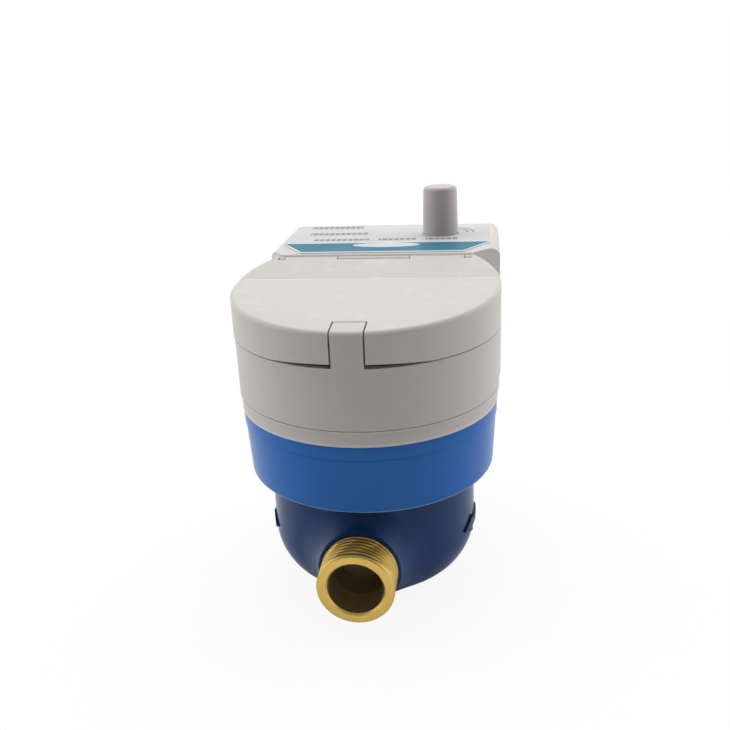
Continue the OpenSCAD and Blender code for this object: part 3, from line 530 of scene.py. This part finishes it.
flowArrow("flowArrowRight", 1)
flowArrow("flowArrowLeft", -1)
print("stage: flow arrows raised")

# threaded brass ends, mm
thread = {"outer": 13.22, "depth": 1.0, "pitch": 1.814, "face": 55.0, "length": 11.5, "lip": 1.5,
          "round": 0.8, "bore": 9.5, "boreEdge": 0.6, "boreStop": 0.35, "overlap": 0.15, "crest": 1.25,
          "flank": 4.2, "fadeOut": 0.8, "fadeIn": 0.5, "steps": 120, "rings": 72}


def pipeEnd(name, side):
    face, edge, bore = thread["face"], thread["round"], thread["bore"]
    foot = face - thread["length"] - thread["overlap"]
    freshSelection()
    bpy.ops.mesh.primitive_circle_add(vertices=thread["steps"], radius=thread["outer"] * mm,
                                      fill_type="NOTHING", location=(0, side * foot * mm, 0),
                                      rotation=(math.radians(90), 0, 0))
    piece = bpy.context.object
    bpy.ops.object.transform_apply(location=True, rotation=True, scale=True)
    bpy.ops.object.mode_set(mode="EDIT")
    bpy.ops.mesh.select_all(action="SELECT")
    rise = (face - foot) / thread["rings"]
    for ring in range(thread["rings"]):
        bpy.ops.mesh.extrude_edges_move(TRANSFORM_OT_translate={"value": (0, side * rise * mm, 0)})
    endEdit()

    def cutThread(p):  # helical groove, faded at both ends, and a rounded rim
        along = np.abs(p[:, 1])
        angle = np.arctan2(p[:, 2], p[:, 0])
        wave = np.mod(along / thread["pitch"] - side * angle / (2 * math.pi), 1.0)
        groove = np.clip(thread["crest"] - np.abs(wave - 0.5) * thread["flank"], 0, 1)
        fade = np.clip((face - thread["lip"] - along) / thread["fadeOut"], 0, 1)
        fade *= np.clip((along - foot) / thread["fadeIn"], 0, 1)
        near = np.clip(along - (face - edge), 0, edge)
        radius = thread["outer"] - thread["depth"] * groove * fade - edge + np.sqrt(edge ** 2 - near ** 2)
        return np.stack([radius * np.cos(angle), p[:, 1], radius * np.sin(angle)], axis=1)

    movePoints(piece, cutThread)
    bpy.ops.object.mode_set(mode="EDIT")
    last = thread["outer"] - edge
    for size, move in ((bore + thread["boreEdge"], 0.0), (bore, thread["boreEdge"]),
                       (bore, thread["length"] - thread["boreStop"])):
        bpy.ops.mesh.extrude_edges_move(TRANSFORM_OT_translate={"value": (0, -side * move * mm, 0)})
        bpy.ops.transform.resize(value=(size / last, 1, size / last),
                                 center_override=(0, side * face * mm, 0))
        last = size
    bpy.ops.mesh.select_all(action="DESELECT")
    bpy.ops.mesh.select_mode(type="EDGE")
    bpy.ops.mesh.select_non_manifold()
    bpy.ops.mesh.bridge_edge_loops()
    bpy.ops.mesh.select_all(action="SELECT")
    bpy.ops.mesh.normals_make_consistent(inside=False)
    bpy.ops.transform.translate(value=(0, 0, bowl["pipeHeight"] * mm))
    endEdit()
    settle(piece, name, "brass", smoothAngle=38)
    piece.data.materials.append(finishes["boreWall"])
    for wall in piece.data.polygons:  # the bore is left dull
        x, y, z = wall.center / mm
        wall.material_index = 1 if math.hypot(x, z - bowl["pipeHeight"]) < bore + bowl["near"] else 0
    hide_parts("meter_body")


pipeEnd("outletEnd", -1)
pipeEnd("inletEnd", 1)
print("stage: threaded ends cut")

# blue collar, mm: outside from low to top, then the inside as (radius, height) from the top down
collar = {"low": 45.0, "top": 70.0, "lowRadius": 45.2, "topRadius": 46.5, "band": 5.0, "bandStep": 0.3,
          "lowRound": 1.2, "topRound": 0.4, "groove": 0.16, "bore": 38.6,
          "inside": [(42.5, 70.0), (42.5, 64.0), (31.3, 64.0), (31.3, 61.0), (37.6, 61.0), (37.6, 58.0),
                     (38.6, 58.0)]}


def collarRing():
    low, top, rl, rt = collar["low"], collar["top"], collar["lowRadius"], collar["topRadius"]
    seam, g, cr, tr = top - collar["band"], collar["groove"], collar["lowRound"], collar["topRound"]
    under = rt - collar["bandStep"]
    profile = [(collar["bore"], low)] + arc((rl - cr, low + cr), cr, -90, -2, 6)
    profile += [(under + (rl - under) * t, low + cr + (seam - low - cr) * (1 - t)) for t in (0.75, 0.5, 0.25)]
    profile += [(under, seam - g), (under - g * 0.6, seam), (rt, seam + g), (rt, (seam + top) / 2)]
    profile += arc((rt - tr, top - tr), tr, 0, 90, 4)
    piece = turned(profile + collar["inside"] + [(collar["bore"], low)], steps=192)
    settle(piece, "collarRing", "collarPlastic", smoothAngle=30)
    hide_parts("collar_ring")


collarRing()
print("stage: collar turned")

# plastic shells: the CAD forms with softened edges, mm and degrees
softened = {"merge": 0.005, "flat": 0.6, "sharp": 34.0, "smooth": 32.0, "near": 0.05}
shells = {
    "upperShell": {"node": "housing", "body": "meter", "finish": "housingPlastic", "slot": "housing_grey",
                   "soft": 0.35},
    "lowerShell": {"node": "base_shell", "body": "meter", "finish": "housingPlastic", "slot": "housing_grey",
                   "soft": 0.3, "fill": [((-43.05, 49.5, 73.0), (-40.55, 60.5, 75.7)),
                                         ((44.75, 49.5, 73.0), (47.25, 60.5, 75.7))]},
    "dialLid": {"node": "lid", "body": "lid_flap", "finish": "lidPlastic", "slot": "lid_grey",
                "soft": 0.3, "crease": {"y": 3.5, "above": 111.0}},
}


def softShell(name, shell):
    freshSelection()
    source = nodes[shell["node"]]
    piece = source.copy()
    piece.data = source.data.copy()
    piece.parent = None
    bpy.context.collection.objects.link(piece)
    take(piece)
    if piece.data.has_custom_normals:
        bpy.ops.mesh.customdata_custom_splitnormals_clear()
    editAll(piece)
    bpy.ops.mesh.remove_doubles(threshold=softened["merge"] * mm)
    endEdit()
    for low, high in shell.get("fill", []):  # side walls closed beside the battery
        cutAway(piece, block(low, high), "UNION")
    editAll(piece)
    bpy.ops.mesh.dissolve_limited(angle_limit=math.radians(softened["flat"]))
    endEdit()
    applyModifier(piece, "BEVEL", width=shell["soft"] * mm, segments=3, limit_method="ANGLE",
                  angle_limit=math.radians(softened["sharp"]), use_clamp_overlap=True, harden_normals=False)
    if "crease" in shell:  # the two slopes of the lid meet in a crisp line
        place = shell["crease"]
        for edge in piece.data.edges:
            ends = [piece.data.vertices[v].co / mm for v in edge.vertices]
            edge.use_edge_sharp = all(abs(end.y - place["y"]) < softened["near"] and end.z > place["above"]
                                      for end in ends)
    settle(piece, name, shell["finish"], shell["body"], smoothAngle=softened["smooth"])
    applyModifier(piece, "WEIGHTED_NORMAL", mode="FACE_AREA", weight=50, keep_sharp=True)
    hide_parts(shell["node"])


for shellName, shellLook in shells.items():
    softShell(shellName, shellLook)
print("stage: shells softened")

# raised line across the lid where its two slopes meet, in a lighter plastic that is a painted highlight
bead = {"y": 3.5, "z": 112.4, "half": 45.4, "width": 0.9, "raised": 0.05, "depth": 0.5, "edge": 0.2}


def creaseBead():
    top = bead["z"] + bead["raised"]
    piece = block((-bead["half"], bead["y"] - bead["width"] / 2, top - bead["depth"]),
                  (bead["half"], bead["y"] + bead["width"] / 2, top))
    applyModifier(piece, "BEVEL", width=bead["edge"] * mm, segments=3)
    settle(piece, "creaseBead", "lidCreaseHighlight", "lid_flap")


creaseBead()

# antenna cap, mm
antenna = {"place": (23.4, 65.5, 115.5), "foot": 7.3, "draft": 0.4, "height": 19.7, "edge": 1.6,
           "footEdge": 0.3}


def antennaCap():
    f, d, h, e = antenna["foot"], antenna["draft"], antenna["height"], antenna["edge"]
    profile = [(0, 0), (f - antenna["footEdge"], 0), (f, antenna["footEdge"]), (f - d * 0.5, h * 0.5)]
    profile += arc((f - d - e, h - e), e, 2, 90, 8) + [(0, h)]
    piece = turned(profile, centre=antenna["place"], steps=96)
    settle(piece, "antennaStub", "antennaPlastic", smoothAngle=40)
    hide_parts("antenna_cap")


antennaCap()

# printed film on the box, mm: fields are (front, rear, half width), rows (front, rear, stretches of bars)
label = {"white": (0.635, 0.635, 0.645), "band": (0.045, 0.192, 0.28), "border": (0.78, 0.82, 0.84),
         "ink": (0.20, 0.20, 0.22), "rough": 0.5, "cloudScale": 80.0, "patches": 0.2, "ior": 1.45,
         "gloss": 0.12, "shift": 2.1, "cornerStart": 46.5, "cornerSlope": 10 / 15.5,
         "bandField": (32.4, 47.5, 40.6), "borderField": (31.0, 48.2, 41.4),
         "lozenge": (0.7, 43.6), "lozengeSize": (13.4, 3.9), "lozengeGain": 1.05,
         "bars": 0.42, "gap": 0.2, "inked": 0.8,
         "rows": [(52.0, 55.6, [(-30.6, -7.5), (-3.5, 12), (16, 29)]), (63.4, 68.0, [(-34, -9)]),
                  (76.4, 81.4, [(-36, -13)])],
         "waves": (25.4, 66.5), "waveRadii": (7.2, 9.6), "waveHalf": 0.5, "waveFrom": 2.5}


def labelFinish():
    material, start = newFinish("labelPrint")
    x, y = axesInMm(start)[:2]
    x = x - label["shift"]
    slant = abs(x) + (label["cornerStart"] - y) * label["cornerSlope"]  # the half width along the cut corners
    band, border = [within(y, front, rear) * (slant < half)
                    for front, rear, half in (label["bandField"], label["borderField"])]
    u = (x - label["lozenge"][0]) / label["lozengeSize"][0]
    v = (y - label["lozenge"][1]) / label["lozengeSize"][1]
    lozenge = u * u + v * v < 1
    bars = fraction(x * label["bars"]) > label["gap"]  # rows of short bars
    ink = sum(within(y, front, rear) * sum(within(x, left, right) for left, right in stretches)
              for front, rear, stretches in label["rows"]) * bars
    dx, dy = x - label["waves"][0], y - label["waves"][1]
    ring = distance(dx, dy)
    for radius in label["waveRadii"]:
        wave = within(ring, radius - label["waveHalf"], radius + label["waveHalf"])
        ink = ink + wave * (dx > label["waveFrom"]) * (dy > 0)
    colour = blendColours(border, rgba(label["white"]), rgba(label["border"]))
    colour = blendColours(band, colour, rgba(label["band"]))
    colour = blendColours(band * lozenge, colour, rgba(label["white"], label["lozengeGain"]))
    colour = blendColours(smallerOf(ink, 1.0) * label["inked"], colour, rgba(label["ink"]))
    cloud = noiseOf(start, label["cloudScale"], 4.0)
    shader = start.node("ShaderNodeBsdfPrincipled", None, {
        "Base Color": colour, "Roughness": label["rough"] + (cloud - 0.5) * label["patches"],
        "IOR": label["ior"], "Specular IOR Level": label["gloss"]})
    showFinish(start, shader)
    return material


finishes["labelPrint"] = labelFinish()
print("stage: label printed")

# glass over the dial
glass = {"tint": (0.96, 0.98, 0.98), "ior": 1.45, "rough": 0.02, "smear": 0.03, "smearScale": 120.0}


def glassFinish():
    material, start = newFinish("windowGlass")
    smear = noiseOf(start, glass["smearScale"], 3.0)
    shader = start.node("ShaderNodeBsdfPrincipled", None, {
        "Base Color": rgba(glass["tint"]), "Transmission Weight": 1.0, "IOR": glass["ior"],
        "Roughness": glass["rough"] + smear * glass["smear"]})
    showFinish(start, shader)
    return material


finishes["windowGlass"] = glassFinish()

# dial print, mm: two small scales, a dark field round the rollers, an outer line and a blue bar
dial = {"scales": [(12.228, -7.06), (1.299, -13.37)], "scaleRadius": 5.7, "ticks": 10, "tickHalf": 0.07,
        "tickLength": 1.0, "scaleLine": 0.22, "rollers": (0.0, 9.0), "frame": (13.4, 4.2), "rim": 25.6,
        "rimLine": 0.35, "bar": (-25.0, -20.6), "barHalf": 9.0, "white": (0.80, 0.80, 0.78),
        "ink": (0.02, 0.02, 0.025), "blue": (0.10, 0.30, 0.62), "rough": 0.45, "paperScale": 300.0,
        "patches": 0.15}


def dialFinish():
    material, start = newFinish("dialPrint")
    x, y = axesInMm(start)[:2]
    ink = within(distance(x, y), dial["rim"], dial["rim"] + dial["rimLine"])
    r = dial["scaleRadius"]
    for cx, cy in dial["scales"]:
        dx, dy = x - cx, y - cy
        away = distance(dx, dy)
        turns = dx.maths("ARCTAN2", dy, dx) * (dial["ticks"] / (2 * math.pi))
        tick = abs(fraction(turns + 0.5) - 0.5) < dial["tickHalf"]
        ink = ink + within(away, r - dial["tickLength"], r) * tick + within(away, r, r + dial["scaleLine"])
    dx, dy = abs(x - dial["rollers"][0]), abs(y - dial["rollers"][1])
    framed = (dx < dial["frame"][0]) * (dy < dial["frame"][1])
    bar = within(y, *dial["bar"]) * (abs(x) < dial["barHalf"])
    colour = blendColours(bar, rgba(dial["white"]), rgba(dial["blue"]))
    colour = blendColours(smallerOf(ink + framed, 1.0), colour, rgba(dial["ink"]))
    paper = noiseOf(start, dial["paperScale"], 3.0)
    shader = start.node("ShaderNodeBsdfPrincipled", None, {
        "Base Color": colour, "Roughness": dial["rough"] + (paper - 0.5) * dial["patches"]})
    showFinish(start, shader)
    return material


finishes["dialPrint"] = dialFinish()
print("stage: dial printed")

# finishes of the CAD nodes that stay
nodeFinish = {
    "whitePlastic": ["inlet_strainer", "impeller", "chamber_cover", "first_wheel", "second_wheel"],
    "canPlastic": ["register_can"],
    "redPlastic": ["flow_star", "first_hand", "second_hand", "roller_1"],
    "rollerBlack": ["roller_2", "roller_3", "roller_4", "roller_5"],
    "rubber": ["cover_seal", "glass_gasket"],
    "boardGreen": ["circuit_board", "sensor_board"],
    "batteryWrap": ["battery"],
    "magnetGrey": ["impeller_magnet", "follower_magnet"],
    "brass": ["clamp_ring", "movement_plate", "movement_bridge", "antenna_element"],
    "steel": ["impeller_pivot", "follower_spindle", "roller_shaft", "hinge_pin", "radio_module",
              "board_screws", "shell_screws"],
    "labelPrint": ["label"],
    "dialPrint": ["dial_plate"],
    "windowGlass": ["register_glass"],
}
for finishName, nodeNames in nodeFinish.items():
    for nodeName in nodeNames:
        nodes[nodeName].data.materials.clear()
        nodes[nodeName].data.materials.append(finishes[finishName])
print("stage: inner pieces dressed")

# numerals round the rollers, mm
numeral = {"size": 3.5, "tall": 0.8, "thick": 0.06, "cuts": 8, "rollers": 5, "curve": 4}


def rollerNumerals(index):
    low, high = (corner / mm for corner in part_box("roller_%d" % index))
    middle = (low + high) / 2
    radius = (high.z - low.z) / 2 + numeral["thick"]
    signs = []
    for value in range(10):
        freshSelection()
        bpy.ops.object.text_add()
        sign = bpy.context.object
        sign.data.body = str(value)
        sign.data.size = numeral["size"] * mm
        sign.data.align_x = "CENTER"
        sign.data.align_y = "CENTER"
        sign.data.resolution_u = numeral["curve"]
        bpy.ops.object.convert(target="MESH")
        sign = bpy.context.object
        bpy.ops.object.mode_set(mode="EDIT")
        for cut in range(1, numeral["cuts"]):  # cuts across let the sign bend round the roller
            level = (cut / numeral["cuts"] - 0.5) * numeral["size"] * numeral["tall"]
            bpy.ops.mesh.select_all(action="SELECT")
            bpy.ops.mesh.bisect(plane_co=(0, level * mm, 0), plane_no=(0, 1, 0))
        endEdit()

        def wrap(p, value=value):
            angle = p[:, 1] / radius + value * 2 * math.pi / 10
            return np.stack([middle.x + p[:, 0], middle.y + radius * np.sin(angle),
                             middle.z + radius * np.cos(angle)], axis=1)

        movePoints(sign, wrap)
        signs.append(sign)
    freshSelection()
    for sign in signs:
        sign.select_set(True)
    bpy.context.view_layer.objects.active = signs[0]
    bpy.ops.object.join()
    piece = bpy.context.object
    applyModifier(piece, "SOLIDIFY", thickness=2 * numeral["thick"] * mm, offset=-1.0)
    settle(piece, "numerals%d" % index, "numeralInk", "number_%d" % index)


for rollerIndex in range(1, numeral["rollers"] + 1):
    rollerNumerals(rollerIndex)
print("stage: rollers numbered")

# floor, world and lights: lamps are (name, place, aimed at, size, power), in metres and watts
studio = {"floor": (0.78, 0.78, 0.78), "seenFloor": (0.98, 0.98, 0.98), "mirroredFloor": (0.85, 0.85, 0.85),
          "floorSize": 8.0, "floorDrop": 0.0002, "shade": 0.10, "fade": 0.55,
          "lamps": [("topSoft", (-0.1, 0.4, 1.3), (0, 0, 0.06), 2.0, 19.4),
                    ("leftSoft", (-1.2, 0.1, 0.5), (0, 0, 0.06), 0.9, 6.9),
                    ("rightSoft", (1.12, 0.55, 0.5), (0, 0, 0.06), 0.9, 8.2),
                    ("backSoft", (0.1, 1.3, 0.8), (0, 0, 0.08), 0.9, 4.0)],
          "ambient": 0.10, "mirrorBase": 0.05, "mirrorSides": 1.2, "mirrorBack": 1.2, "mirrorTop": 0.35}


def lightPath(start, out):  # 0 seen by the camera, 3 mirrored, 6 seen through glass
    return start.node("ShaderNodeLightPath", None, None, out=out)


def floorFinish():
    material, start = newFinish("paleFloor")
    seenByCamera, mirrored = lightPath(start, 0), lightPath(start, 3)
    paper = blendColours(mirrored, rgba(studio["floor"]), rgba(studio["mirroredFloor"]))
    paper = blendColours(seenByCamera, paper, rgba(studio["seenFloor"]))
    matt = start.node("ShaderNodeBsdfDiffuse", None, {"Color": paper})
    glow = start.node("ShaderNodeEmission", None, {"Color": (1, 1, 1, 1), "Strength": 1.0})
    x, y = axes(start)[:2]
    near = 1 - distance(x, y) / studio["fade"]  # the shadow fades out away from the meter
    kept = largerOf(near, 0.0) * studio["shade"]
    shader = start.node("ShaderNodeMixShader", None, {0: seenByCamera * (1 - kept), 1: matt, 2: glow})
    showFinish(start, shader)
    return material


freshSelection()
bpy.ops.mesh.primitive_plane_add(size=studio["floorSize"], location=(0, 0, -studio["floorDrop"]))
floor = bpy.context.object
floor.name = "paleFloor"
bpy.ops.object.transform_apply(location=True, rotation=True, scale=True)
floor.data.materials.append(floorFinish())

for lampName, place, aim, size, power in studio["lamps"]:
    freshSelection()
    turn = (Vector(aim) - Vector(place)).to_track_quat("-Z", "Y").to_euler()
    bpy.ops.object.light_add(type="AREA", location=place, rotation=turn)
    lamp = bpy.context.object
    lamp.name = lampName
    lamp.data.size = size
    lamp.data.energy = power
    lamp.visible_glossy = False  # reflections come from the soft room below


def studioWorld():
    world = bpy.data.worlds.new("softStudio")
    bpy.context.scene.world = world
    world.use_nodes = True
    world.node_tree.nodes.clear()
    start = Wire(world.node_tree)
    direction = start.node("ShaderNodeTexCoord", None, None, out=0)
    x, y, z = parts(direction)
    seenByCamera, mirrored, seenThrough = [lightPath(start, out) for out in (0, 3, 6)]
    behind, above = largerOf(y, 0.0), largerOf(z, 0.0)
    room = studio["mirrorBase"] + studio["mirrorSides"] * abs(x) ** 4.0
    room = room + studio["mirrorBack"] * behind * behind + studio["mirrorTop"] * above
    white = largerOf(seenByCamera, seenThrough)
    level = white + (1 - white) * (mirrored * room + (1 - mirrored) * studio["ambient"])
    back = start.node("ShaderNodeBackground", None, {"Color": (1, 1, 1, 1), "Strength": level})
    start.node("ShaderNodeOutputWorld", None, {"Surface": back})


studioWorld()
print("stage: studio lit")
